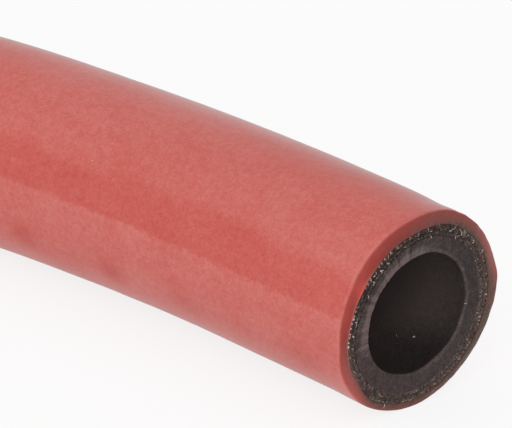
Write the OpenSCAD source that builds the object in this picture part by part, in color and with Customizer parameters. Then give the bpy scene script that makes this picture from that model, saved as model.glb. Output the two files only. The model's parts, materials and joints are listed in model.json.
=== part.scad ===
// Rubber gas tubing: a short cut length of red reinforced hose, lying on its side in an easy bend.
// Millimetres, with +Z up. The origin is the centre of the near cut end, on the axis of the bore,
// and +X points straight out of that end. The hose runs back along -X and bends towards -Y.

/* [Section] */
// Diameter of the bore
bore_d = 10; // [6:0.5:16]
// Wall of the black inner tube
inner_tube_wall = 1.5; // [1:0.1:3]
// Thickness of each of the two yarn plies
yarn_ply_wall = 0.375; // [0.25:0.025:0.8]
// Wall of the red outer cover
outer_cover_wall = 1; // [0.8:0.1:3]

/* [Run] */
// Length of the hose along its centre line
hose_length = 154; // [110:1:300]
// Straight stretch at each end, which takes a hose tail inside and a clip outside
straight_end = 16; // [12:1:40]

/* [Hidden] */

// Facets of a circle
$fn = 96;
// How far the cut for a bore runs past each end face
cut_past = 1;
// Turn of the bend in degrees. Its cosine and sine are 0.8 and 0.6, so the far end has an exact direction.
bend_turn = atan2(3, 4);
// Degrees of bend that are made and then trimmed off square
trimmed_turn = 2;

// Radius of the bend at the centre line, which gives the hose its length
bend_radius = (hose_length - 2 * straight_end) / (bend_turn * PI / 180);

// Outer radius of each layer, from the bore outwards
bore_r = bore_d / 2;
inner_tube_r = bore_r + inner_tube_wall;
inner_ply_r = inner_tube_r + yarn_ply_wall;
outer_ply_r = inner_ply_r + yarn_ply_wall;
outer_cover_r = outer_ply_r + outer_cover_wall;

// One straight end, from its inner end at the origin along -X
module straight_bar(radius, past) {
    rotate([0, -90, 0])
        cylinder(h = straight_end + past, r = radius);
}

// Puts what is drawn at the origin, running along -X, at the end of the bend.
// The centre of the bend is at the origin.
module at_bend_end() {
    rotate([0, 0, bend_turn])
        translate([0, bend_radius, 0])
            children();
}

// The bend, trimmed square where the far straight end starts
module bend_bar(radius) {
    block = 4 * outer_cover_r;
    difference() {
        rotate([0, 0, 90])
            rotate_extrude(angle = bend_turn + trimmed_turn)
                translate([bend_radius, 0])
                    circle(r = radius);
        at_bend_end()
            translate([-block, -block / 2, -block / 2])
                cube(block);
    }
}

// A solid round bar along the hose's centre line, longer than the hose by past at each end
module round_bar(radius, past = 0) {
    translate([-straight_end, 0, 0])
        mirror([1, 0, 0])
            straight_bar(radius, past);
    translate([-straight_end, -bend_radius, 0]) {
        bend_bar(radius);
        at_bend_end()
            straight_bar(radius, past);
    }
}

// One layer of the hose wall, from one cut end to the other
module layer(outer_r, inner_r) {
    difference() {
        round_bar(outer_r);
        round_bar(inner_r, cut_past);
    }
}

// Red rubber cover
module outer_cover() {
    color("indianred")
        layer(outer_cover_r, outer_ply_r);
}

// Outer ply of wound textile yarn, under the cover
module outer_yarn_ply() {
    color("wheat")
        layer(outer_ply_r, inner_ply_r);
}

// Inner ply of wound textile yarn, on the inner tube
module inner_yarn_ply() {
    color("tan")
        layer(inner_ply_r, inner_tube_r);
}

// Black rubber inner tube that the gas runs through
module inner_tube() {
    color("dimgray")
        layer(inner_tube_r, bore_r);
}

outer_cover();
outer_yarn_ply();
inner_yarn_ply();
inner_tube();
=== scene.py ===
# Looks of a short length of red rubber gas tubing, lying on a pale floor.
# Every piece is modelled on the straightened hose, in millimetres: s runs along the centre line from
# the near cut end, y across it and z up. Each is then bent along the hose's real centre line, in metres.
import json
import math
import random

import bmesh
import bpy
import numpy as np
from mathutils import Matrix, Vector, noise


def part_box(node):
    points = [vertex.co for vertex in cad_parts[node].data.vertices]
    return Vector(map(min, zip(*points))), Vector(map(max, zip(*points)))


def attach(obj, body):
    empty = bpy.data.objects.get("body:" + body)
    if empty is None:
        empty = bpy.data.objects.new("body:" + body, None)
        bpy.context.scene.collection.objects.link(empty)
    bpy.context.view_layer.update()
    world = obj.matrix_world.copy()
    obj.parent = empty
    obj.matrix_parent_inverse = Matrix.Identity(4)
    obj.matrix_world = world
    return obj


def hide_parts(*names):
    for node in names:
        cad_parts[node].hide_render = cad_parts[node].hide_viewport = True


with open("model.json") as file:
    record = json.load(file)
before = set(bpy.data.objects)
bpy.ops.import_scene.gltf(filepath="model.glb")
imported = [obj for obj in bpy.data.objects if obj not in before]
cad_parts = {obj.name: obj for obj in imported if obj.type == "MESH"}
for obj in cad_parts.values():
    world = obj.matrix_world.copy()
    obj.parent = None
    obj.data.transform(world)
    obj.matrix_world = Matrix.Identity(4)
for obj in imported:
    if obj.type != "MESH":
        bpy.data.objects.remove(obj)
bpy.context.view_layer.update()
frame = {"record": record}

MM = 0.001

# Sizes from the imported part

mounts = {m["name"]: m for m in frame["record"]["mounts"]}
near_bore = mounts["near_end_bore"]
far_bore = mounts["far_end_bore"]


def outer_radius(node):
    """Outer radius of a layer of the hose, in mm: half the height of its box."""
    low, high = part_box(node)
    return (high[2] - low[2]) / 2 / MM


BORE_R = near_bore["dims"]["r_mm"]
TUBE_R = outer_radius("inner_tube")
INNER_PLY_R = outer_radius("inner_yarn_ply")
OUTER_PLY_R = outer_radius("outer_yarn_ply")
COVER_R = outer_radius("outer_cover")

# The centre line: straight, then a bend in one plane, then straight again
STRAIGHT_END = near_bore["dims"]["length_mm"]
TURN = math.atan2(-far_bore["axis"][1], -far_bore["axis"][0])
BEND_R = (-far_bore["pos_m"][0] / MM - STRAIGHT_END * (1 + math.cos(TURN))) / math.sin(TURN)
BEND_LENGTH = BEND_R * TURN
LENGTH = 2 * STRAIGHT_END + BEND_LENGTH

# The photograph's view: the pixel and the distance of the near end's centre, and the lens
PHOTO_WIDTH = 512
PHOTO_HEIGHT = 428
NEAR_END_PIXEL = (418.61, 310.20)
NEAR_END_DEPTH = 382.41
FOCAL_PIXELS = 5000
VIEW_AZIMUTH = math.radians(46.84)
VIEW_ELEVATION = math.radians(24.42)

# The two cut ends. Each list goes round an end as (direction in degrees, value), from +y towards +z.
# How far the cut stands out along the hose, in mm
NEAR_CUT = (
    (0, 0.50), (30, 0.45), (60, 0.35), (95, 0.50), (125, 0.40), (150, 0.25), (170, 0.10),
    (190, -0.15), (215, -0.35), (245, -0.30), (280, -0.10), (310, 0.10), (340, 0.35),
)
FAR_CUT = ((20, -0.10), (80, 0.25), (130, 0.10), (190, 0.30), (240, -0.20), (310, -0.25))
# How far the cover's outer edge lies back from the rest of the cut, in mm
NEAR_LIP = (
    (0, 0.06), (11, 0.15), (21, 0.41), (38, 0.32), (60, 0.15), (85, 0.0), (97, 0.03), (103, 0.09),
    (108, 0.20), (120, 0.34), (145, 0.40), (170, 0.32), (186, 0.0), (200, 0.22), (212, 0.10),
    (240, 0.15), (268, 0.10), (288, 0.26), (310, 0.29), (335, 0.22), (350, 0.17),
)
FAR_LIP = ((0, 0.20), (70, 0.35), (150, 0.15), (220, 0.40), (300, 0.10))
# How stained the cover's cut is, from 0, red, to 1 or more, brown: beside the yarn, and at the outside
NEAR_STAIN_INSIDE = (
    (0, 1.20), (15, 1.10), (30, 0.92), (45, 1.05), (60, 1.00), (75, 0.85), (90, 0.70), (120, 0.38),
    (145, 0.0), (165, 0.05), (180, 0.45), (195, 0.85), (210, 0.95), (220, 0.75), (235, 1.00),
    (270, 0.95), (300, 1.15), (330, 1.25),
)
NEAR_STAIN_OUTSIDE = (
    (0, 0.70), (15, 0.50), (30, 0.42), (45, 0.50), (60, 0.30), (75, 0.40), (90, 0.42), (120, 0.20),
    (145, 0.0), (165, 0.0), (180, 0.22), (205, 0.14), (220, 0.36), (235, 0.75), (270, 0.75),
    (300, 0.85), (330, 0.95), (345, 0.75),
)
FAR_STAIN_INSIDE = ((0, 0.50), (70, 0.20), (150, 0.70), (220, 0.40), (290, 0.95))
FAR_STAIN_OUTSIDE = ((0, 0.30), (70, 0.10), (150, 0.45), (220, 0.25), (290, 0.75))
# Stretches of the near cut that are worn paler: direction and half width in degrees, strength at the
# cover's outer edge, strength half way through the cover
NEAR_WORN = ((220, 14, 0.3, 0.0), (202, 14, 0.0, 0.2), (20, 20, 0.25, 0.08))
# A patch of bright new red on the near cut: its direction and half width in degrees, and how much of the
# cover's thickness it takes up, from the yarn outwards
NEW_RED = (147, 6)
NEW_RED_ACROSS = 0.5
# A pale line beside the yarn on one side of the near cut, and how much of the cover's thickness it takes
# up. A side is a direction, the degrees from it that are full, and the degrees at which it has faded out.
PALE_LINE_SIDE = (165, 25, 40)
PALE_LINE_ACROSS = 0.14
# The side of the cover where the edges of the cuts are nicked, and how far back the nicks reach, in mm
NICKED_SIDE = (0, 50, 100)
NICK_REACH = 1.2
# How sooty the yarn is under its clean ends, from 0 to 1
NEAR_SOOT = (
    (0, 0.1), (30, 0.3), (75, 0.9), (165, 0.9), (200, 0.0), (222, 0.0), (245, 0.3), (275, 0.1),
)
FAR_SOOT = ((0, 0.3), (120, 0.7), (240, 0.4))
# Share of the yarn ends that are clean and bright
NEAR_CLEAN = (
    (0, 0.50), (24, 0.45), (36, 0.30), (48, 0.45), (60, 0.22), (75, 0.22), (90, 0.15), (108, 0.30),
    (118, 0.70), (132, 0.90), (140, 0.50), (150, 0.15), (160, 0.30), (166, 1.00), (184, 1.00),
    (190, 0.20), (205, 0.30), (228, 0.30), (240, 0.12), (258, 0.03), (276, 0.15), (290, 0.12),
    (302, 0.40), (312, 0.15), (326, 0.12), (340, 0.45),
)
FAR_CLEAN = ((0, 0.30), (60, 0.10), (140, 0.35), (200, 0.15), (280, 0.40), (330, 0.15))
# How much the yarn ends are frayed, as a multiple of the usual
NEAR_FRAY = (
    (0, 1.3), (20, 1.3), (45, 2.4), (75, 3.0), (95, 2.0), (120, 1.0), (200, 1.0), (222, 1.8), (245, 1.0),
)
FAR_FRAY = ((0, 1.0), (100, 1.0), (150, 2.4), (200, 1.0))
# How far the outer and the inner edge of the yarn lie off their circles, in mm
NEAR_YARN_OUTSIDE = (
    (5, 0.08), (14, 0.04), (25, 0.28), (37, 0.25), (55, 0.20), (72, 0.16), (84, 0.0), (165, 0.0),
    (180, 0.05), (200, -0.05), (213, -0.22), (222, 0.0), (231, 0.25), (245, 0.18), (260, 0.12),
    (290, 0.0), (340, -0.05),
)
NEAR_YARN_INSIDE = (
    (0, -0.15), (14, -0.20), (32, 0.15), (45, 0.05), (60, -0.05), (75, 0.0), (120, -0.09), (137, -0.20),
    (150, -0.15), (165, -0.07), (195, 0.0), (210, -0.10), (240, -0.05), (270, -0.07), (300, -0.22),
    (330, -0.20),
)
FAR_YARN_OUTSIDE = ((0, 0.10), (70, -0.10), (120, 0.15), (200, 0.0), (250, 0.20), (300, -0.10))
FAR_YARN_INSIDE = ((30, -0.10), (100, 0.05), (160, -0.15), (220, 0.05), (310, -0.15))
# How far the edge of the bore lies off its circle, in mm
NEAR_BORE_EDGE = (
    (0, 0.15), (24, 0.16), (36, 0.20), (50, 0.10), (72, 0.08), (96, 0.0), (150, 0.03), (180, 0.06),
    (215, 0.0), (240, -0.10), (252, -0.20), (272, -0.13), (290, -0.24), (305, -0.14), (325, 0.05),
    (345, -0.05),
)
FAR_BORE_EDGE = ((20, -0.05), (90, 0.10), (160, -0.10), (230, 0.05), (300, 0.10))
# How far back from the cut the edges of the yarn and the bore wander, in mm
WANDER_REACH = 2.5
# Yarns pulled out of the near cut: direction in degrees and distance from the centre in mm
NEAR_PULLED = ((227, 7.06), (233, 6.69))
# The holes that they leave: half width in degrees, and half width and depth in mm
HOLE_DEGREES = 3
HOLE_WIDTH = 0.12
HOLE_DEPTH = 0.2
# How far back from the cut its unevenness reaches, in mm
CUT_REACH = 4.0
# How much of the unevenness is left at the bore
BORE_SHARE = 0.45
# How sharply the cover's outer edge falls back, as a power of the way through the cover
LIP_CURVE = 1.6
# Shifts in degrees over which a list is averaged, to ease its corners
EASED_OVER = (-6, -2, 2, 6)
# The knife pushes the inner layers off centre at the two ends by this much (y, z in mm)
NEAR_SQUEEZE = (-0.22, -0.34)
FAR_SQUEEZE = (0.15, -0.12)
# How far back from the cut the push reaches, and where it starts to fade inside the cover, in mm
SQUEEZE_REACH = 7.0
SQUEEZE_FADE = 0.3

# The bare label strip along the cover: its two edges, how far each is blurred and how far it wanders, in
# degrees, and the strip's depth in mm
STRIP_TOP_EDGE = 143
STRIP_TOP_BLUR = 6
STRIP_TOP_WANDER = 5
STRIP_LOW_EDGE = 168
STRIP_LOW_BLUR = 1.2
STRIP_LOW_WANDER = 0.5
STRIP_DEPTH = 0.05
# Slight swells and hollows of the cover: place along the hose, direction in degrees, half length,
# half width in degrees, height in mm
SWELLS = (
    (0, 54, 1.0, 26, -0.12), (2.2, 56, 1.7, 35, -0.14), (0, 218, 3, 33, 0.15), (14, 65, 9, 45, 0.12),
    (46, 65, 8, 45, 0.10), (75, 230, 12, 45, 0.08), (110, 30, 12, 45, 0.08),
)
# Where the pale bloom is rubbed off on the side that shows, or lies thicker if the strength is negative:
# place along the hose, degrees, strength
RUBBED = (
    (4.5, 204, 0.5), (12, 200, 0.35), (18.5, 203, 0.5), (27, 204, 1.4), (31.5, 203, 0.3),
    (37.2, 202, 1.1), (27, 135, 0.4), (19, 91, 0.3), (32, 119, -0.4), (34, 170, -0.4), (24, 171, -0.3),
    (17.8, 184, -0.3),
)
# Half length in mm and half width in degrees of those patches
RUBBED_SIZE = (1.6, 10)
# Painted shade over the top of the near end, given as a rubbed patch: place, degrees, strength, half
# length, half width
NEAR_TOP_SHADE = (0, 70, 0.75, 22, 32)
# Other rubbed patches, placed by chance where the photograph doesn't reach: how many, where along the hose
# its view ends, and the directions of the hose's back
CHANCE_RUBBED = 50
UNSEEN_FROM = 48
BACK = (230, 410)
# A band along the top of the cover, where it is seen at a grazing angle, painted greyer as a painted
# sheen: the middle and the half width of the band, in degrees
LIMB_SHEEN_BAND = (64, 20)

# The cover's corner at a cut, and the bore's, in mm
COVER_CORNER = 0.12
BORE_CORNER = 0.15
# Lumps of the cover, the nicks at its cut edges, and the torn surface of each layer's cut: layers of
# (height in mm, size in mm, octaves of noise)
COVER_LUMPS = ((0.03, 14.0, 2), (0.01, 3.0, 2))
COVER_NICKS = ((0.06, 1.2, 2),)
COVER_TORN = ((0.05, 1.1, 3), (0.015, 0.3, 2))
PLY_TORN = ((0.07, 0.5, 3),)
LINER_TORN = ((0.05, 1.3, 3), (0.02, 0.4, 2))
# The inner tube's side with knife strokes, how many would go round, and their depth in mm
STROKED_SIDE = (138, 42, 72)
STROKES = 70
STROKE_DEPTH = 0.02
# The inner tube's darker side, with its half width, and the direction in which it is brownest, in degrees
DARK_LINER = (22, 40)
BROWN_LINER = 200
# The side of the bore's edge that is painted paler, a painted highlight on its rounded corner, and the
# side of the bore painted darker, a painted shade
HIGHLIT_BORE_EDGE = (0, 60, 110)
SHADED_BORE_SIDE = (266, 25, 75)
# How far into the bore its wall is painted lighter, a painted light that makes up for the light lost deep
# inside, in mm
BORE_LIGHT_REACH = 9

# Filaments in a yarn, and the radii of those and of loose ones, in mm
FILAMENTS = 7
FILAMENT_R = (0.02, 0.036)
LOOSE_R = (0.014, 0.024)
# How far the filaments of a yarn spread, how deep they start and how far they stand out, in mm
YARN_SPREAD = (0.025, 0.045)
ROOT_DEPTH = 0.3
STAND_OUT = (0.0, 0.05)
# How far a clean yarn lies out of its ply's middle, and how far a frayed one strays, in mm
CLEAN_OUT = 0.14
FRAYED_STRAY = 0.025
# Half lengths of loose filaments, how far they stray from their ply's middle, and how much more for each
# step of fraying, in mm
LOOSE_REACH = (0.06, 0.14)
LOOSE_STRAY = 0.06
FRAYED_LOOSE_STRAY = 0.03
# How far a loose filament turns away from the ring of yarn, in radians for each step of fraying
LOOSE_TURN = 0.28

# Points around each layer of the hose
AROUND = 320


# Shape helpers

def lay_on_route(points):
    """Places in metres, in the row frame, of points (s, y, z) in mm on the straightened hose."""
    s, across, z = points.T
    turned = np.clip((s - STRAIGHT_END) / BEND_R, 0, TURN)
    before = np.minimum(s, STRAIGHT_END)
    after = np.maximum(s - STRAIGHT_END - BEND_LENGTH, 0)
    x = -before - (BEND_R + across) * np.sin(turned) - after * np.cos(turned)
    y = -BEND_R + (BEND_R + across) * np.cos(turned) - after * np.sin(turned)
    return np.stack([x, y, z], 1) * MM


def smooth_step(value, low, high):
    """0 below low, 1 above high, and a smooth rise between."""
    t = np.clip((value - low) / (high - low), 0, 1)
    return t * t * (3 - 2 * t)


def bumps(points, size, octaves=2):
    """Smooth noise from about -1 to 1 at points in mm, with bumps of about that size."""
    return np.array([noise.fractal(Vector(p) / size, 1.0, 2.0, octaves) for p in points])


def roughness(points, layers):
    """Bumps of several sizes together: layers of (height in mm, size in mm, octaves)."""
    return sum(height * bumps(points, size, octaves) for height, size, octaves in layers)


def round_the_end(marks, angle):
    """Value at each angle of a list of (degrees, value), in straight stretches with eased corners."""
    directions, values = zip(*marks)
    degrees = np.degrees(angle)
    nearby = [np.interp(degrees + shift, directions, values, period=360) for shift in EASED_OVER]
    return np.mean(nearby, 0)


def degrees_apart(angle, degrees):
    """How far each angle is from a direction, in degrees."""
    return np.abs((np.degrees(angle) - degrees + 180) % 360 - 180)


def on_side(angle, degrees, full, none):
    """1 within full degrees of a direction, fading to 0 at none degrees from it."""
    return 1 - smooth_step(degrees_apart(angle, degrees), full, none)


def towards(angle, degrees, half_width):
    """1 in a direction, fading softly to 0 around it."""
    return np.exp(-(degrees_apart(angle, degrees) / half_width) ** 2)


def fade(distance, reach):
    """1 at no distance, fading softly to 0 beyond that reach."""
    return np.exp(-(distance / reach) ** 2)


def through_cover(radius):
    """How far through the cover a radius lies, from 0 beside the yarn to 1 at the outside."""
    return np.clip((radius - OUTER_PLY_R) / (COVER_R - OUTER_PLY_R), 0, 1)


def wandered(radius, outside, inside, bore):
    """How far outwards a point moves with the yarn's two edges and the bore's edge, which move so far."""
    to_yarn = np.clip((radius - BORE_R) / (TUBE_R - BORE_R), 0, 1)
    through_yarn = np.clip((radius - TUBE_R) / (OUTER_PLY_R - TUBE_R), 0, 1)
    with_yarn = bore + (inside - bore) * to_yarn + (outside - inside) * through_yarn
    return with_yarn - outside * through_cover(radius)


def uneven_ends(points):
    """Moves points (s, y, z) near the two cut ends as the knife left them."""
    s, y, z = points.T
    angle = np.arctan2(z, y)
    radius = np.hypot(y, z)
    share = BORE_SHARE + (1 - BORE_SHARE) * smooth_step(radius, BORE_R, TUBE_R)
    edge = through_cover(radius) ** LIP_CURVE
    inside = 1 - smooth_step(radius, OUTER_PLY_R - SQUEEZE_FADE, COVER_R)
    moved = np.array([s, y, z])
    near = (NEAR_CUT, NEAR_LIP, NEAR_YARN_OUTSIDE, NEAR_YARN_INSIDE, NEAR_BORE_EDGE)
    far = (FAR_CUT, FAR_LIP, FAR_YARN_OUTSIDE, FAR_YARN_INSIDE, FAR_BORE_EDGE)
    ends = (
        (np.maximum(s, 0), -1, near, NEAR_SQUEEZE),
        (np.maximum(LENGTH - s, 0), 1, far, FAR_SQUEEZE),
    )
    for back, outward, lists, squeeze in ends:
        cut, lip, *edges = [round_the_end(marks, angle) for marks in lists]
        moved[0] += outward * (share * cut - edge * lip) * fade(back, CUT_REACH)
        push = inside * fade(back, SQUEEZE_REACH)
        wander = wandered(radius, *edges) * fade(back, WANDER_REACH)
        moved[1] += squeeze[0] * push + wander * np.cos(angle)
        moved[2] += squeeze[1] * push + wander * np.sin(angle)
    return moved.T


def graded(start, stop, first_step, last_step, growth=1.25):
    """Stations from start to stop, closer together towards both ends."""
    half = (stop - start) / 2
    steps = [0.0]
    step = first_step
    while steps[-1] < half:
        steps.append(steps[-1] + step)
        step = min(step * growth, last_step)
    scaled = [x * half / steps[-1] for x in steps]
    return [start + x for x in scaled] + [stop - x for x in reversed(scaled[:-1])]


class Tube:
    """Rows of points around a layer of the hose: the near end from its inside out, the outer wall,
    the far end from its outside in, and the inner wall back. end is a list of (depth, radius, cut), and
    the steps are the longest along the two walls, in mm."""

    FIRST_OUTER_STEP = 0.15
    FIRST_INNER_STEP = 0.5

    def __init__(self, end, outer_step, inner_step):
        outer = graded(end[-1][0], LENGTH - end[-1][0], self.FIRST_OUTER_STEP, outer_step)
        inner = graded(end[0][0], LENGTH - end[0][0], self.FIRST_INNER_STEP, inner_step)
        rows = list(end)
        rows += [(s, end[-1][1], 0.0) for s in outer[1:-1]]
        rows += [(LENGTH - depth, radius, cut) for depth, radius, cut in reversed(end)]
        rows += [(s, end[0][1], 0.0) for s in reversed(inner[1:-1])]
        self.rows = len(rows)
        s, radius, cut = np.array(rows).T
        self.angle = np.tile(np.arange(AROUND) * 2 * math.pi / AROUND, self.rows)
        self.s = np.repeat(s, AROUND)
        self.radius = np.repeat(radius, AROUND)
        self.cut = np.repeat(cut, AROUND)
        self.back = np.minimum(self.s, LENGTH - self.s)
        self.outward = np.where(self.s < LENGTH / 2, -1.0, 1.0)

    def by_end(self, near, far):
        """Values of two lists of (degrees, value), each for its own half of the hose."""
        return np.where(self.outward < 0, round_the_end(near, self.angle), round_the_end(far, self.angle))

    def points(self):
        """Points (s, y, z) in mm on the straightened hose."""
        y = self.radius * np.cos(self.angle)
        z = self.radius * np.sin(self.angle)
        return np.stack([self.s, y, z], 1)

    def faces(self):
        """Squares between each row and the next, and from the last row to the first."""
        quads = []
        for row in range(self.rows):
            here = row * AROUND
            there = (row + 1) % self.rows * AROUND
            for k in range(AROUND):
                m = (k + 1) % AROUND
                quads.append((here + k, here + m, there + m, there + k))
        return quads


class Strands:
    """Many short thin fibres, each a closed tube of a few sides."""

    SIDES = 5
    # How much thinner a fibre is at its tip
    TAPER = 0.35
    # A direction that no fibre follows, from which its sides are turned
    ASKEW = Vector((0.3, 0.5, 0.8))

    def __init__(self):
        self.points = []
        self.faces = []
        self.tint = []

    def add(self, path, radius, tint):
        """One fibre along path, a list of points (s, y, z) in mm, thinner at its tip."""
        first = len(self.points)
        path = [Vector(p) for p in path]
        for k, p in enumerate(path):
            ahead = path[min(k + 1, len(path) - 1)] - path[max(k - 1, 0)]
            side = ahead.cross(self.ASKEW).normalized()
            other = ahead.cross(side).normalized()
            thick = radius * (1 - self.TAPER * k / (len(path) - 1))
            for m in range(self.SIDES):
                a = 2 * math.pi * m / self.SIDES
                self.points.append(p + thick * (math.cos(a) * side + math.sin(a) * other))
                self.tint.append(tint)
        for k in range(len(path) - 1):
            low = first + k * self.SIDES
            for m in range(self.SIDES):
                n = (m + 1) % self.SIDES
                self.faces.append((low + m, low + n, low + self.SIDES + n, low + self.SIDES + m))
        last = first + (len(path) - 1) * self.SIDES
        self.faces.append(tuple(range(first, first + self.SIDES)))
        self.faces.append(tuple(range(last, last + self.SIDES)))


def make_piece(name, points, faces, straight, marks, sharp_degrees=80):
    """A mesh object from points in mm on the straightened hose, with its marks kept for the material."""
    mesh = bpy.data.meshes.new(name)
    mesh.from_pydata(lay_on_route(points).tolist(), [], faces)
    tidy = bmesh.new()
    tidy.from_mesh(mesh)
    bmesh.ops.recalc_face_normals(tidy, faces=tidy.faces)
    tidy.to_mesh(mesh)
    tidy.free()
    mesh.polygons.foreach_set("use_smooth", [True] * len(mesh.polygons))
    mesh.set_sharp_from_angle(angle=math.radians(sharp_degrees))
    place = mesh.attributes.new("straight", "FLOAT_VECTOR", "POINT")
    place.data.foreach_set("vector", np.asarray(straight, dtype=np.float32).ravel())
    for mark, values in marks.items():
        layer = mesh.attributes.new(mark, "FLOAT", "POINT")
        layer.data.foreach_set("value", np.asarray(values, dtype=np.float32))
    piece = bpy.data.objects.new(name, mesh)
    bpy.context.scene.collection.objects.link(piece)
    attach(piece, "root")
    return piece


# Material helpers

class Look:
    """A material being built. Each method adds a node and gives back its output."""

    def __init__(self, name):
        self.material = bpy.data.materials.new(name)
        self.material.use_nodes = True
        self.tree = self.material.node_tree
        self.shader = self.tree.nodes["Principled BSDF"]

    def put(self, socket, value):
        """Links a node's output to a socket, or sets the socket to a plain value."""
        if isinstance(value, bpy.types.NodeSocket):
            self.tree.links.new(value, socket)
        else:
            socket.default_value = value

    def add(self, kind, inputs, output=0, **settings):
        node = self.tree.nodes.new(kind)
        for key, value in settings.items():
            setattr(node, key, value)
        for key, value in inputs.items():
            self.put(node.inputs[key], value)
        return node.outputs[output]

    def mark(self, name):
        return self.add("ShaderNodeAttribute", {}, "Fac", attribute_name=name)

    def straight(self):
        return self.add("ShaderNodeAttribute", {}, "Vector", attribute_name="straight")

    def math(self, operation, a, b=0.0, c=0.0):
        return self.add("ShaderNodeMath", {0: a, 1: b, 2: c}, operation=operation)

    def weighed(self, start, terms):
        """start plus each of the terms, (value, weight), taken about its own middle of 0.5."""
        total = start
        for value, weight in terms:
            centred = self.math("SUBTRACT", value, 0.5)
            total = self.math("MULTIPLY_ADD", centred, weight, total)
        return total

    def scaled(self, vector, factors):
        return self.add("ShaderNodeVectorMath", {0: vector, 1: factors}, operation="MULTIPLY")

    def direction(self, vector):
        """The direction out from the hose's centre line."""
        flat = self.scaled(vector, (0, 1, 1))
        return self.add("ShaderNodeVectorMath", {0: flat}, operation="NORMALIZE")

    def noise(self, vector, scale, detail=2.0, roughness=0.5):
        inputs = {"Vector": vector, "Scale": scale, "Detail": detail, "Roughness": roughness}
        return self.add("ShaderNodeTexNoise", inputs)

    def spread(self, value, low, high, to_low, to_high):
        """value from low..high, taken to to_low..to_high."""
        inputs = {"Value": value, "From Min": low, "From Max": high, "To Min": to_low, "To Max": to_high}
        return self.add("ShaderNodeMapRange", inputs)

    def mix(self, factor, a, b):
        return self.add("ShaderNodeMix", {0: factor, 6: a, 7: b}, 2, data_type="RGBA")

    def ramp(self, value, stops):
        """Colour at value, from stops of (place, colour)."""
        node = self.tree.nodes.new("ShaderNodeValToRGB")
        points = node.color_ramp.elements
        points[0].position, points[0].color = stops[0]
        points[1].position, points[1].color = stops[-1]
        for place, colour in stops[1:-1]:
            points.new(place).color = colour
        self.put(node.inputs[0], value)
        return node.outputs[0]

    def bump(self, height, distance, strength=1.0, normal=None):
        inputs = {"Height": height, "Distance": distance, "Strength": strength}
        if normal is not None:
            inputs["Normal"] = normal
        return self.add("ShaderNodeBump", inputs)

    def finish(self, **inputs):
        """Sets the shader's inputs and gives back the material."""
        for key, value in inputs.items():
            self.put(self.shader.inputs[key.replace("_", " ")], value)
        return self.material


def colour(red, green, blue):
    """A linear colour from the usual 0 to 255 values."""
    def linear(value):
        value = value / 255
        return value / 12.92 if value <= 0.04045 else ((value + 0.055) / 1.055) ** 2.4
    return (linear(red), linear(green), linear(blue), 1.0)


# Materials

def red_rubber_look():
    """Matte red rubber under a thin pale bloom, with a barer label strip and a torn and stained cut."""
    look = Look("red_rubber")
    place = look.straight()
    cut = look.mark("cut")
    grain = look.noise(place, 5.5, roughness=0.7)
    mottle = look.noise(place, 2.0, roughness=0.6)
    patches = look.noise(place, 0.17, detail=3.0)
    smears = look.noise(look.scaled(place, (0.1, 0.8, 0.8)), 1.0)
    bloom = look.weighed(0.64, ((grain, 0.95), (mottle, 0.6), (patches, 0.4), (smears, 0.25)))
    bloom = look.math("MULTIPLY_ADD", look.mark("strip"), -0.25, bloom)
    # Less bloom where it is rubbed off and under the painted shade at the top of the near end; more bloom
    # as a painted highlight along the cut edges
    bloom = look.math("MULTIPLY_ADD", look.mark("rubbed_and_painted_light"), -0.4, bloom)
    stops = (
        (0.1, colour(186, 70, 60)),
        (0.5, colour(197, 92, 83)),
        (0.95, colour(206, 118, 111)),
    )
    skin = look.ramp(bloom, stops)
    # Painted sheen: a greyer copy of the skin's colour along the top edge, where the cover is seen at a
    # grazing angle
    limb_sheen_colour = look.ramp(bloom, ((0.1, colour(168, 98, 92)), (0.95, colour(194, 128, 123))))
    skin = look.mix(look.mark("painted_limb_sheen"), skin, limb_sheen_colour)
    torn = look.noise(place, 1.6, detail=4.0, roughness=0.65)
    tone = look.noise(place, 0.9)
    red = look.weighed(look.mark("red"), ((tone, 0.4), (torn, 0.15)))
    stops = (
        (0.0, colour(124, 36, 27)),
        (0.3, colour(142, 45, 36)),
        (0.8, colour(168, 64, 55)),
        (1.0, colour(192, 50, 38)),
    )
    clean = look.ramp(red, stops)
    blotches = look.spread(look.noise(place, 1.7, detail=3.0), 0.35, 0.65, 0.85, 1.15)
    stain = look.math("MULTIPLY", look.mark("stain"), blotches)
    stain = look.weighed(stain, ((tone, 0.12),))
    stops = (
        (0.3, colour(94, 32, 25)),
        (0.75, colour(98, 59, 51)),
        (1.0, colour(76, 53, 44)),
    )
    soil = look.ramp(stain, stops)
    face = look.mix(stain, clean, soil)
    base = look.mix(cut, skin, face)
    sheen = look.math("MULTIPLY_ADD", look.math("MULTIPLY", cut, stain), -0.32, 0.44)
    rough = look.spread(grain, 0.3, 0.7, 0.52, 0.66)
    fine = look.bump(grain, 0.04 * MM, 0.6)
    coarse = look.bump(torn, 0.2 * MM, look.math("MULTIPLY", cut, 0.4), fine)
    return look.finish(
        Base_Color=base,
        Roughness=rough,
        Normal=coarse,
        Specular_IOR_Level=0.35,
        Sheen_Weight=sheen,
        Sheen_Roughness=0.34,
        Sheen_Tint=(0.85, 0.95, 0.96, 1.0),
    )


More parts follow.
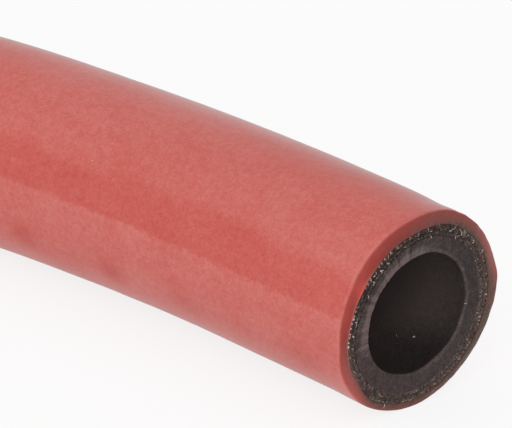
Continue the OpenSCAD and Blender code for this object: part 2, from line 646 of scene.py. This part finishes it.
def yarn_look(name):
    """Cut textile yarn: clean pale filaments among others that are coated with dark rubber."""
    look = Look(name)
    place = look.straight()
    grime = look.noise(place, 5.0, detail=3.0, roughness=0.6)
    value = look.weighed(look.mark("tint"), ((grime, 0.7),))
    stops = (
        (0.0, colour(30, 29, 29)),
        (0.25, colour(67, 59, 57)),
        (0.45, colour(99, 88, 84)),
        (0.65, colour(148, 134, 123)),
        (1.0, colour(240, 228, 219)),
    )
    grey = look.ramp(value, stops)
    stops = (
        (0.0, colour(38, 27, 25)),
        (0.25, colour(75, 56, 52)),
        (0.45, colour(110, 85, 75)),
        (0.65, colour(160, 130, 110)),
        (1.0, colour(240, 225, 208)),
    )
    tan = look.ramp(value, stops)
    warm = look.spread(look.noise(place, 2.2, roughness=0.6), 0.43, 0.67, 0.0, 1.0)
    base = look.mix(warm, grey, tan)
    fluff = look.bump(look.noise(place, 9.0), 0.04 * MM, 0.6)
    return look.finish(Base_Color=base, Roughness=0.85, Normal=fluff, Specular_IOR_Level=0.15)


def black_rubber_look():
    """Black rubber: a bore painted lighter deeper in and darker on its lower side, as painted light and
    shade, and a greyer cut face with knife marks.
    """
    look = Look("black_rubber")
    place = look.straight()
    cut = look.mark("cut")
    torn = look.noise(place, 1.8, detail=4.0, roughness=0.65)
    speckle = look.noise(place, 6.0, roughness=0.7)
    strokes = look.noise(look.direction(place), 14.0)
    stroked = look.math("MULTIPLY", look.mark("stroked"), look.math("SUBTRACT", strokes, 0.5))
    grey = look.weighed(0.26, ((torn, 1.5), (speckle, 1.5)))
    grey = look.math("MULTIPLY_ADD", stroked, 2.1, grey)
    grey = look.math("MULTIPLY_ADD", look.mark("lit"), 0.64, grey)
    stops = (
        (0.0, colour(42, 36, 35)),
        (0.5, colour(70, 60, 59)),
        (1.0, colour(101, 89, 88)),
    )
    face = look.ramp(grey, stops)
    stops = (
        (0.0, colour(45, 34, 33)),
        (0.5, colour(76, 58, 57)),
        (1.0, colour(107, 87, 86)),
    )
    face = look.mix(look.mark("brown"), face, look.ramp(grey, stops))
    # Painted light: the bore's wall is lighter deeper in, with painted shade on its lower side
    bore_painted_light = look.weighed(look.mark("bore_painted_light"), ((torn, 0.2), (speckle, 0.35)))
    stops = (
        (0.05, colour(34, 27, 27)),
        (0.3, colour(52, 44, 44)),
        (0.6, colour(82, 72, 70)),
        (1.0, colour(95, 84, 82)),
    )
    wall = look.ramp(bore_painted_light, stops)
    base = look.mix(cut, wall, face)
    rough = look.spread(torn, 0.3, 0.7, 0.55, 0.75)
    fine = look.bump(look.noise(place, 7.0), 0.03 * MM, 0.5)
    coarse = look.bump(torn, 0.15 * MM, look.math("MULTIPLY", cut, 0.5), fine)
    return look.finish(Base_Color=base, Roughness=rough, Normal=coarse, Specular_IOR_Level=0.2)


# Pieces

def strip_mask(angle, wander):
    """1 on the label strip and 0 off it, with a fairly crisp low edge and a soft top edge that wanders."""
    degrees = np.degrees(angle) % 360
    top = degrees + STRIP_TOP_WANDER * wander
    low = degrees + STRIP_LOW_WANDER * wander
    above = smooth_step(top, STRIP_TOP_EDGE - STRIP_TOP_BLUR, STRIP_TOP_EDGE + STRIP_TOP_BLUR)
    below = 1 - smooth_step(low, STRIP_LOW_EDGE - STRIP_LOW_BLUR, STRIP_LOW_EDGE + STRIP_LOW_BLUR)
    return above * below


def rubbed_off_and_painted_shade(s, angle):
    """Soft blotches where the cover has been handled and its bloom is gone, and a painted shade over the
    top of the near end.
    """
    clear_of_end = 4
    half_lengths = (1.2, 4.5)
    half_widths = (6, 22)
    strengths = (0.1, 0.5)
    limits = (-0.6, 1.5)
    chance = random.Random(21)
    blotches = [patch + RUBBED_SIZE for patch in RUBBED] + [NEAR_TOP_SHADE]
    for k in range(CHANCE_RUBBED):
        past_view = k % 2
        middle = chance.uniform(UNSEEN_FROM if past_view else clear_of_end, LENGTH)
        degrees = chance.uniform(0, 360) if past_view else chance.uniform(*BACK)
        size = chance.uniform(*half_lengths), chance.uniform(*half_widths)
        blotches.append((middle, degrees, chance.uniform(*strengths)) + size)
    total = np.zeros_like(s)
    for middle, degrees, strength, half_length, half_width in blotches:
        total += strength * fade(s - middle, half_length) * towards(angle, degrees, half_width)
    return np.clip(total, *limits)


def cover_end():
    """The cover's near end as rows of (depth, radius, cut): its face, then its rounded corner."""
    face_rows = 12
    corner_rows = 5
    end = []
    for k in range(face_rows):
        t = k / (face_rows - 1)
        end.append((0.0, OUTER_PLY_R + (COVER_R - COVER_CORNER - OUTER_PLY_R) * t, 1.0))
    for k in range(1, corner_rows + 1):
        t = k / corner_rows
        turn = t * math.pi / 2
        depth = COVER_CORNER * (1 - math.cos(turn))
        end.append((depth, COVER_R - COVER_CORNER * (1 - math.sin(turn)), 1 - t))
    return end


def cover_swell(tube, straight):
    """How far the cover swells out, in mm: lumps all over, the listed swells, and nicks at the cuts."""
    swell = roughness(straight, COVER_LUMPS)
    for middle, degrees, half_length, half_width, height in SWELLS:
        swell += height * fade(tube.s - middle, half_length) * towards(tube.angle, degrees, half_width)
    nicked = on_side(tube.angle, *NICKED_SIDE) * fade(tube.back, NICK_REACH)
    return swell + roughness(straight, COVER_NICKS) * nicked


def cover_marks(tube, outside, strip, wander):
    """What the red rubber's material is told at each point: how much it is cut, stained and so on."""
    near = tube.outward < 0
    across = through_cover(tube.radius)
    stain_inside = tube.by_end(NEAR_STAIN_INSIDE, FAR_STAIN_INSIDE)
    stain_outside = tube.by_end(NEAR_STAIN_OUTSIDE, FAR_STAIN_OUTSIDE)
    stain = stain_inside + (stain_outside - stain_inside) * across
    new_red = near * towards(tube.angle, *NEW_RED) * fade(across, NEW_RED_ACROSS)
    red = 0.2 + 0.5 * across + 0.8 * new_red
    pale_line = near * on_side(tube.angle, *PALE_LINE_SIDE) * fade(across, PALE_LINE_ACROSS)
    # Where the outside of the cut is stained, the stain laps over its edge
    soiled = smooth_step(stain_outside, 0.2, 0.7)
    soiled_edge = soiled * outside * (1 - smooth_step(tube.back, 0.1, 0.5))
    cut = np.maximum(tube.cut, soiled_edge) * (1 - 0.45 * pale_line)
    for degrees, half_width, at_edge, half_way in NEAR_WORN:
        worn = at_edge * across + half_way * 4 * across * (1 - across)
        cut = cut * (1 - near * worn * towards(tube.angle, degrees, half_width))
    # A painted highlight along the edge at each cut, given as a thicker bloom
    rubbed_and_painted_light = rubbed_off_and_painted_shade(tube.s, tube.angle) - 0.6 * fade(tube.back, 0.3)
    # Painted sheen along the top edge of the cover
    painted_limb_sheen = (0.65 + 0.3 * wander) * towards(tube.angle, *LIMB_SHEEN_BAND)
    return {"cut": cut, "strip": strip, "rubbed_and_painted_light": rubbed_and_painted_light, "painted_limb_sheen": painted_limb_sheen, "stain": stain, "red": red}


def outer_cover():
    """Red rubber cover, with a rounded edge at each cut end."""
    skin = 0.3
    drawn_out = (1, 0.2, 0.2)
    tube = Tube(cover_end(), outer_step=1.0, inner_step=5.0)
    straight = tube.points()
    outside = smooth_step(tube.radius, COVER_R - skin, COVER_R)
    wander = bumps(straight * drawn_out, size=5.0, octaves=3)
    strip = strip_mask(tube.angle, wander) * outside
    tube.radius = tube.radius + outside * (cover_swell(tube, straight) - STRIP_DEPTH * strip)
    tube.s = tube.s + tube.outward * tube.cut * roughness(straight, COVER_TORN)
    marks = cover_marks(tube, outside, strip, wander)
    piece = make_piece("outer_cover_visual", uneven_ends(tube.points()), tube.faces(), straight, marks)
    piece.data.materials.append(red_rubber_look())
    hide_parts("outer_cover")


def end_path(end_s, outward, stations):
    """Points (s, y, z) of stations (distance out of the cut, radius, angle) at one end of the hose."""
    return [(end_s + outward * up, r * math.cos(a), r * math.sin(a)) for up, r, a in stations]


def pulled_out(outward, turn, middle):
    """Whether a yarn is one of those that were pulled out of the near cut."""
    for degrees, radius in NEAR_PULLED:
        beside = degrees_apart(turn, degrees) < HOLE_DEGREES and abs(middle - radius) < HOLE_WIDTH
        if outward < 0 and beside:
            return True
    return False


def cut_yarn(strands, chance, place, turn, middle, out, lean, share, shade):
    """One cut yarn: a tight bundle of filaments that end just out of the cut."""
    root_lean = 0.15
    bundle = chance.uniform(*YARN_SPREAD)
    for filament in range(FILAMENTS):
        angle = turn + chance.gauss(0, bundle) / middle
        r = out + chance.gauss(0, bundle)
        up = chance.uniform(*STAND_OUT)
        root = angle - root_lean * lean / middle
        tip = angle + lean * up / middle
        stations = ((-ROOT_DEPTH, r, root), (0.0, r, angle), (up, r, tip))
        thick = chance.uniform(*FILAMENT_R) * (1 + 0.5 * share)
        strands.add(end_path(*place, stations), thick, shade + chance.uniform(-0.15, 0.1))


def loose_filaments(strands, chance, place, turn, pitch, middle, frayed, share):
    """Filaments that lie across the cut beside one yarn, more and longer ones where it is frayed."""
    for loose in range(round(frayed)):
        angle = turn + chance.uniform(-0.5, 0.5) * pitch
        r = middle + chance.gauss(0, LOOSE_STRAY + FRAYED_LOOSE_STRAY * (frayed - 1))
        way = chance.gauss(0, LOOSE_TURN * frayed)
        reach = chance.uniform(*LOOSE_REACH) * (0.6 + 0.4 * frayed)
        up = chance.uniform(*STAND_OUT) * frayed
        stations = []
        for part, rise in ((-1.0, -0.06), (-0.3, up), (0.4, up + 0.02), (1.0, up - 0.02)):
            off = part * reach
            stations.append((rise, r + off * math.sin(way), angle + off * math.cos(way) / r))
        clean = chance.random() < 0.6 * share
        shade = chance.uniform(0.6, 1.0) if clean else chance.uniform(0.2, 0.6)
        strands.add(end_path(*place, stations), chance.uniform(*LOOSE_R), shade)


def yarn_ends(strands, chance, middle, yarns, lean, brightness):
    """The cut yarns of one ply at both ends of the hose, and the loose filaments on them."""
    ends = ((0.0, -1, NEAR_CLEAN, NEAR_FRAY, NEAR_SOOT), (LENGTH, 1, FAR_CLEAN, FAR_FRAY, FAR_SOOT))
    pitch = 2 * math.pi / yarns
    for end_s, outward, clean, fray, soot in ends:
        place = (end_s, outward)
        for k in range(yarns):
            turn = pitch * (k + chance.uniform(-0.2, 0.2))
            if pulled_out(outward, turn, middle):
                continue
            share = brightness * float(round_the_end(clean, turn))
            frayed = float(round_the_end(fray, turn))
            dull = 0.68 - 0.3 * float(round_the_end(soot, turn))
            out = middle + CLEAN_OUT * share + chance.gauss(0, FRAYED_STRAY) * frayed
            bright = 0.4 + 0.45 * share, 0.6 + 0.55 * share
            shade = chance.uniform(*bright) if chance.random() < share else chance.uniform(0.25, dull)
            cut_yarn(strands, chance, place, turn, middle, out, lean, share, shade)
            loose_filaments(strands, chance, place, turn, pitch, middle, frayed, share)


def yarn_ply(node, slot, inner_r, outer_r, yarns, lean, brightness, seed):
    """One ply of wound yarn: a ring, with the cut ends of its yarns at both ends of the hose."""
    face_depth = 0.08
    face_rows = 5
    wall = outer_r - inner_r
    end = [(face_depth, inner_r + wall * k / (face_rows - 1), 1.0) for k in range(face_rows)]
    tube = Tube(end, outer_step=5.0, inner_step=5.0)
    straight = tube.points()
    tube.s = tube.s + tube.outward * tube.cut * roughness(straight, PLY_TORN)
    soot = tube.by_end(NEAR_SOOT, FAR_SOOT)
    # Painted shade in the groove between the two rings of yarn
    between_plies_shade = 1 - smooth_step(np.abs(tube.radius - INNER_PLY_R), 0.0, 0.2)
    tint = 0.41 - 0.24 * soot - 0.14 * between_plies_shade
    near = tube.outward < 0
    for degrees, radius in NEAR_PULLED:
        hole = near * towards(tube.angle, degrees, HOLE_DEGREES) * fade(tube.radius - radius, HOLE_WIDTH)
        tube.s = tube.s - tube.outward * tube.cut * HOLE_DEPTH * hole
        # Painted shade in the hole, on top of its real depth
        tint = tint - 0.2 * hole
    strands = Strands()
    yarn_ends(strands, random.Random(seed), (inner_r + outer_r) / 2, yarns, lean, brightness)
    fibre_points = np.array(strands.points)
    points = np.concatenate([tube.points(), fibre_points])
    all_straight = np.concatenate([straight, fibre_points])
    faces = tube.faces() + [tuple(len(straight) + v for v in face) for face in strands.faces]
    marks = {"tint": np.concatenate([tint, np.array(strands.tint)])}
    piece = make_piece(node + "_visual", uneven_ends(points), faces, all_straight, marks)
    piece.data.materials.append(yarn_look(slot))
    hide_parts(node)


def inner_tube_end():
    """The inner tube's near end as rows of (depth, radius, cut): its rounded corner, then its face."""
    corner_rows = 5
    face_rows = 14
    face_wall = TUBE_R - BORE_R - BORE_CORNER
    end = []
    for k in range(corner_rows):
        turn = k / (corner_rows - 1) * math.pi / 2
        depth = BORE_CORNER * (1 - math.sin(turn))
        cut = float(smooth_step(k, 0, corner_rows - 2))
        end.append((depth, BORE_R + BORE_CORNER * (1 - math.cos(turn)), cut))
    for k in range(1, face_rows + 1):
        end.append((0.0, BORE_R + BORE_CORNER + face_wall * k / face_rows, 1.0))
    return end


def inner_tube():
    """Black inner tube, its cut face marked by the knife and the edge of the bore a little rounded."""
    tube = Tube(inner_tube_end(), outer_step=5.0, inner_step=1.5)
    straight = tube.points()
    stroked = on_side(tube.angle, *STROKED_SIDE)
    strokes = np.sin(STROKES * tube.angle + 3 * bumps(straight, 3.0))
    rough = roughness(straight, LINER_TORN) + STROKE_DEPTH * strokes * stroked
    tube.s = tube.s + tube.outward * tube.cut * rough
    from_bore = tube.radius - BORE_R
    lit = stroked * (1 - smooth_step(from_bore, 0.6, 1.1))
    # Painted highlight on the rounded edge of the bore, on one side
    lit += 0.5 * on_side(tube.angle, *HIGHLIT_BORE_EDGE) * (1 - smooth_step(from_bore, 0.15, 0.5))
    lit -= 0.2 * towards(tube.angle, *DARK_LINER)
    # Painted light in the bore: lighter deeper in, and painted shade on its lower side
    bore_shade = on_side(tube.angle, *SHADED_BORE_SIDE)
    bore_painted_light = 0.3 + 0.7 * np.clip(tube.back / BORE_LIGHT_REACH, 0, 1) - 0.25 * bore_shade
    brown = 0.38 + 0.38 * np.cos(tube.angle - math.radians(BROWN_LINER))
    marks = {"cut": tube.cut, "stroked": stroked, "lit": lit, "bore_painted_light": bore_painted_light, "brown": brown}
    piece = make_piece("inner_tube_visual", uneven_ends(tube.points()), tube.faces(), straight, marks)
    piece.data.materials.append(black_rubber_look())
    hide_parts("inner_tube")


def stray_fibres():
    """Loose bits: a fibre across the near rim, lint in the bore and at its edge, and lint on the cover."""
    fibres_in_lint = 5
    chance = random.Random(5)
    strands = Strands()
    # The fibre across the rim: its direction, its stations (radius, distance out of the cut), radius, tint
    across = math.radians(245)
    lift = ((7.2, 0.06), (7.5, 0.12), (7.8, 0.11), (8.05, 0.04))
    strands.add(end_path(0.0, -1, [(up, r, across) for r, up in lift]), 0.035, 0.75)
    # Bits of lint: place (s, y, z), size and fibre radius in mm, tint
    specks = [
        ((4.49, 2.32, -4.25), 0.07, 0.03, 0.6),
        ((3.09, 2.82, -3.95), 0.10, 0.03, 0.95),
        ((0.0, 5.05, -0.60), 0.08, 0.03, 0.8),
    ]
    # Lint on the cover: place along the hose and direction in degrees
    on_cover = ((37.4, 114), (30.1, 142), (26.2, 106))
    lint_r = COVER_R + 0.04
    for s, degrees in on_cover:
        angle = math.radians(degrees)
        specks.append(((s, lint_r * math.cos(angle), lint_r * math.sin(angle)), 0.06, 0.010, 0.9))
    for middle, size, thick, tint in specks:
        for fibre in range(fibres_in_lint):
            reach = Vector([chance.gauss(0, size / 2) for axis in range(3)])
            strands.add([Vector(middle) - reach, Vector(middle), Vector(middle) + reach], thick, tint)
    points = np.array(strands.points)
    piece = make_piece("stray_fibres", uneven_ends(points), strands.faces, points, {"tint": strands.tint})
    piece.data.materials.append(yarn_look("stray_yarn"))


# Stage

def camera():
    """The camera at the photograph's angle, with the near end's centre on its pixel."""
    a, e = VIEW_AZIMUTH, VIEW_ELEVATION
    back = Vector((math.sin(a) * math.cos(e), -math.cos(a) * math.cos(e), math.sin(e)))
    right = Vector((math.cos(a), math.sin(a), 0))
    up = back.cross(right)
    across = (NEAR_END_PIXEL[0] - PHOTO_WIDTH / 2) / FOCAL_PIXELS
    above = (PHOTO_HEIGHT / 2 - NEAR_END_PIXEL[1]) / FOCAL_PIXELS
    data = bpy.data.cameras.new("camera")
    data.sensor_width = 36
    data.lens = FOCAL_PIXELS / PHOTO_WIDTH * data.sensor_width
    data.clip_start = 0.01
    data.clip_end = 50
    view = bpy.data.objects.new("camera", data)
    place = (back - across * right - above * up) * NEAR_END_DEPTH * MM
    view.matrix_world = Matrix.Translation(place) @ Matrix((right, up, back)).transposed().to_4x4()
    bpy.context.scene.collection.objects.link(view)
    bpy.context.scene.camera = view


def seen_directly(tree):
    """1 for rays that come straight from the camera, or by a reflection or through glass."""
    path = tree.nodes.new("ShaderNodeLightPath")
    total = path.outputs["Is Camera Ray"]
    for name in ("Is Glossy Ray", "Is Transmission Ray"):
        larger = tree.nodes.new("ShaderNodeMath")
        larger.operation = "MAXIMUM"
        tree.links.new(total, larger.inputs[0])
        tree.links.new(path.outputs[name], larger.inputs[1])
        total = larger.outputs[0]
    return total


def pale_floor(size=20.0, paleness=0.95, glow_share=0.82):
    """A wide white floor under the hose. Seen directly it mostly glows, so the hose's shadow is soft."""
    z = -COVER_R * MM
    corners = [(-size, -size, z), (size, -size, z), (size, size, z), (-size, size, z)]
    mesh = bpy.data.meshes.new("floor")
    mesh.from_pydata(corners, [], [(0, 1, 2, 3)])
    floor = bpy.data.objects.new("floor", mesh)
    bpy.context.scene.collection.objects.link(floor)
    material = bpy.data.materials.new("floor")
    material.use_nodes = True
    tree = material.node_tree
    tree.nodes.clear()
    paint = tree.nodes.new("ShaderNodeBsdfDiffuse")
    paint.inputs["Color"].default_value = (paleness, paleness, paleness, 1)
    glow = tree.nodes.new("ShaderNodeEmission")
    share = tree.nodes.new("ShaderNodeMath")
    share.operation = "MULTIPLY"
    share.inputs[1].default_value = glow_share
    tree.links.new(seen_directly(tree), share.inputs[0])
    both = tree.nodes.new("ShaderNodeMixShader")
    tree.links.new(share.outputs[0], both.inputs[0])
    tree.links.new(paint.outputs[0], both.inputs[1])
    tree.links.new(glow.outputs[0], both.inputs[2])
    output = tree.nodes.new("ShaderNodeOutputMaterial")
    tree.links.new(both.outputs[0], output.inputs["Surface"])
    mesh.materials.append(material)


def white_surround(light=0.75, seen=1.0):
    """A white world: how strongly it lights the hose from all round, and how bright it is when seen."""
    world = bpy.data.worlds.new("surround")
    world.use_nodes = True
    bpy.context.scene.world = world
    tree = world.node_tree
    sky = tree.nodes["Background"]
    sky.inputs["Color"].default_value = (1, 1, 1, 1)
    strength = tree.nodes.new("ShaderNodeMapRange")
    tree.links.new(seen_directly(tree), strength.inputs["Value"])
    strength.inputs["To Min"].default_value = light
    strength.inputs["To Max"].default_value = seen
    tree.links.new(strength.outputs[0], sky.inputs["Strength"])


def soft_lamp(name, azimuth, elevation, distance, size, power):
    """A large square lamp that faces the near end from a given side."""
    a = math.radians(azimuth)
    e = math.radians(elevation)
    away = Vector((math.sin(a) * math.cos(e), -math.cos(a) * math.cos(e), math.sin(e)))
    data = bpy.data.lights.new(name, "AREA")
    data.size = size
    data.energy = power
    lamp = bpy.data.objects.new(name, data)
    lamp.location = away * distance
    lamp.rotation_euler = away.to_track_quat("Z", "Y").to_euler()
    bpy.context.scene.collection.objects.link(lamp)


bpy.context.scene.view_settings.view_transform = "Standard"
camera()
outer_cover()
yarn_ply(
    "outer_yarn_ply", "outer_yarn", INNER_PLY_R, OUTER_PLY_R, yarns=120, lean=0.5, brightness=1.0, seed=3
)
yarn_ply(
    "inner_yarn_ply", "inner_yarn", TUBE_R, INNER_PLY_R, yarns=112, lean=-0.5, brightness=0.5, seed=8
)
inner_tube()
stray_fibres()
pale_floor()
white_surround()
soft_lamp("key", azimuth=40, elevation=31, distance=0.8, size=0.6, power=2.35)
